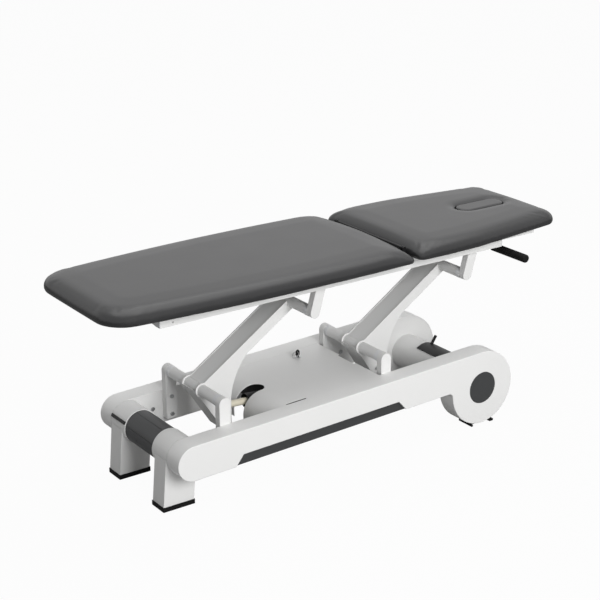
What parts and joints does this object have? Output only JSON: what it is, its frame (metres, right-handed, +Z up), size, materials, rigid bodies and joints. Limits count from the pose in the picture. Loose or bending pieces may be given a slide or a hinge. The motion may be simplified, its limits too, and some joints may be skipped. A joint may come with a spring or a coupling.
{
  "type": "chiropractic_table",
  "caption": "Electric height-adjustable treatment couch with a long foot cushion, a tilting head cushion with a nose plug, parallel lift arms and two white base beams with drums.",
  "frame": {"origin": "on the floor under the middle of the cushions", "axes": "+X from the foot end to the head end, +Y to the far side, +Z up"},
  "size_m": [2, 0.67, 0.8],
  "materials": {
    "vinyl_charcoal": "smooth satin coated cloth",
    "board_black": "black lacquered plywood",
    "cover_white": "satin moulded plastic",
    "trim_dark": "fine grained moulded plastic",
    "paint_white": "satin powder coat",
    "steel_plate": "satin powder coat",
    "steel_bright": "turned and bright",
    "rubber_black": "matt moulded rubber",
    "handle_black": "satin black coat",
    "actuator_ivory": "smooth moulded plastic",
    "switch_black": "moulded plastic",
    "bush_grey": "plain moulded plastic"
  },
  "bodies": {
    "base": {"side_cover_far": "cover_white", "side_cover_near": "cover_white", "side_plate_far": "steel_plate", "side_plate_near": "steel_plate", "trim_strips": "trim_dark", "hub_caps": "trim_dark", "foot_cross_tube": "steel_plate", "foot_housing_far": "paint_white", "foot_housing_near": "paint_white", "foot_legs": "paint_white", "rubber_feet": "rubber_black", "end_cover_panel": "trim_dark", "end_cover_lower": "trim_dark", "end_cover_top": "trim_dark", "cable_cover": "switch_black", "head_cross_tube": "paint_white", "pivot_posts": "paint_white", "socket_screws": "steel_bright", "lower_shafts": "steel_bright", "tray_cover": "paint_white", "key_switch": "steel_bright", "control_box": "switch_black", "actuator_bar": "paint_white"},
    "foot_arm": {"foot_arm_plates": "paint_white", "foot_arm_box": "paint_white", "foot_arm_lower_tube": "paint_white", "foot_arm_upper_tube": "paint_white", "foot_arm_bushes": "bush_grey", "crank_pin": "steel_bright"},
    "head_arm": {"head_arm_plates": "paint_white", "head_arm_box": "paint_white", "head_arm_lower_tube": "paint_white", "head_arm_upper_tube": "paint_white", "head_arm_bushes": "bush_grey"},
    "actuator": {"actuator_tube": "switch_black", "lift_motor": "switch_black"},
    "actuator_rod": {"actuator_rod": "actuator_ivory"},
    "upper_frame": {"rail_far": "paint_white", "rail_near": "paint_white", "rail_extensions": "paint_white", "rail_end_plugs": "bush_grey", "frame_cross_tubes": "paint_white", "hanging_brackets": "paint_white", "upper_shafts": "steel_bright", "hinge_rod": "handle_black", "gas_spring_cylinder": "handle_black", "foot_board": "board_black", "foot_cushion": "vinyl_charcoal"},
    "head_section": {"head_frame": "paint_white", "handle_lugs": "paint_white", "head_hinge_ears": "handle_black", "gas_spring_crank": "paint_white", "head_board": "board_black", "head_cushion": "vinyl_charcoal"},
    "gas_spring_rod": {"gas_spring_rod": "steel_bright"},
    "release_handle": {"release_handle": "handle_black", "handle_grips": "rubber_black"},
    "nose_plug": {"nose_plug": "vinyl_charcoal"},
    "lock_key": {"lock_key": "switch_black"},
    "foot_switch": {"foot_switch": "switch_black"}
  },
  "joints": [
    {"name": "lift", "type": "hinge", "parent": "base", "child": "foot_arm", "pos_m": [-0.527, 0, 0.346], "axis": [0, -1, 0], "range_deg": [-32, 15]},
    {"name": "head_arm_swing", "type": "hinge", "parent": "base", "child": "head_arm", "pos_m": [0.184, 0, 0.346], "axis": [0, -1, 0], "range_deg": [-32, 15]},
    {"name": "frame_level", "type": "hinge", "parent": "foot_arm", "child": "upper_frame", "pos_m": [-0.14, 0, 0.6], "axis": [0, -1, 0], "range_deg": [-15, 32]},
    {"name": "actuator_swing", "type": "hinge", "parent": "base", "child": "actuator", "pos_m": [0.08, 0, 0.212], "axis": [0, -1, 0], "range_deg": [-2, 4]},
    {"name": "rod_swing", "type": "hinge", "parent": "foot_arm", "child": "actuator_rod", "pos_m": [-0.455, 0, 0.242], "axis": [0, -1, 0], "range_deg": [-17, 36]},
    {"name": "head_tilt", "type": "hinge", "parent": "upper_frame", "child": "head_section", "pos_m": [0.25, 0, 0.772], "axis": [0, -1, 0], "range_deg": [0, 65]},
    {"name": "spring_rod_swing", "type": "hinge", "parent": "head_section", "child": "gas_spring_rod", "pos_m": [0.21776, 0, 0.7214], "axis": [0, -1, 0], "range_deg": [-65, 0]},
    {"name": "handle_pull", "type": "hinge", "parent": "head_section", "child": "release_handle", "pos_m": [0.665, 0, 0.672], "axis": [0, -1, 0], "range_deg": [0, 12], "stiffness_Nm_per_rad": 8, "springref_deg": -9.74},
    {"name": "plug_lift", "type": "slide", "parent": "head_section", "child": "nose_plug", "axis": [0, 0, 1], "range_m": [0, 0.065]},
    {"name": "key_turn", "type": "hinge", "parent": "base", "child": "lock_key", "pos_m": [0.01364, 0.135, 0.28461], "axis": [-0.0314, 0, 0.9995], "range_deg": [0, 90]},
    {"name": "pedal_rock", "type": "hinge", "parent": "base", "child": "foot_switch", "pos_m": [0.598, 0, 0.155], "axis": [0, -1, 0], "range_deg": [-8, 8], "stiffness_Nm_per_rad": 5}
  ],
  "couplings": [
    {"joint": "head_arm_swing", "follows": "lift", "ratio": 1},
    {"joint": "frame_level", "follows": "lift", "ratio": -1},
    {"joint": "actuator_swing", "follows": "lift", "ratio": -0.1054},
    {"joint": "rod_swing", "follows": "lift", "ratio": -1.1054},
    {"joint": "spring_rod_swing", "follows": "head_tilt", "ratio": -1}
  ]
}
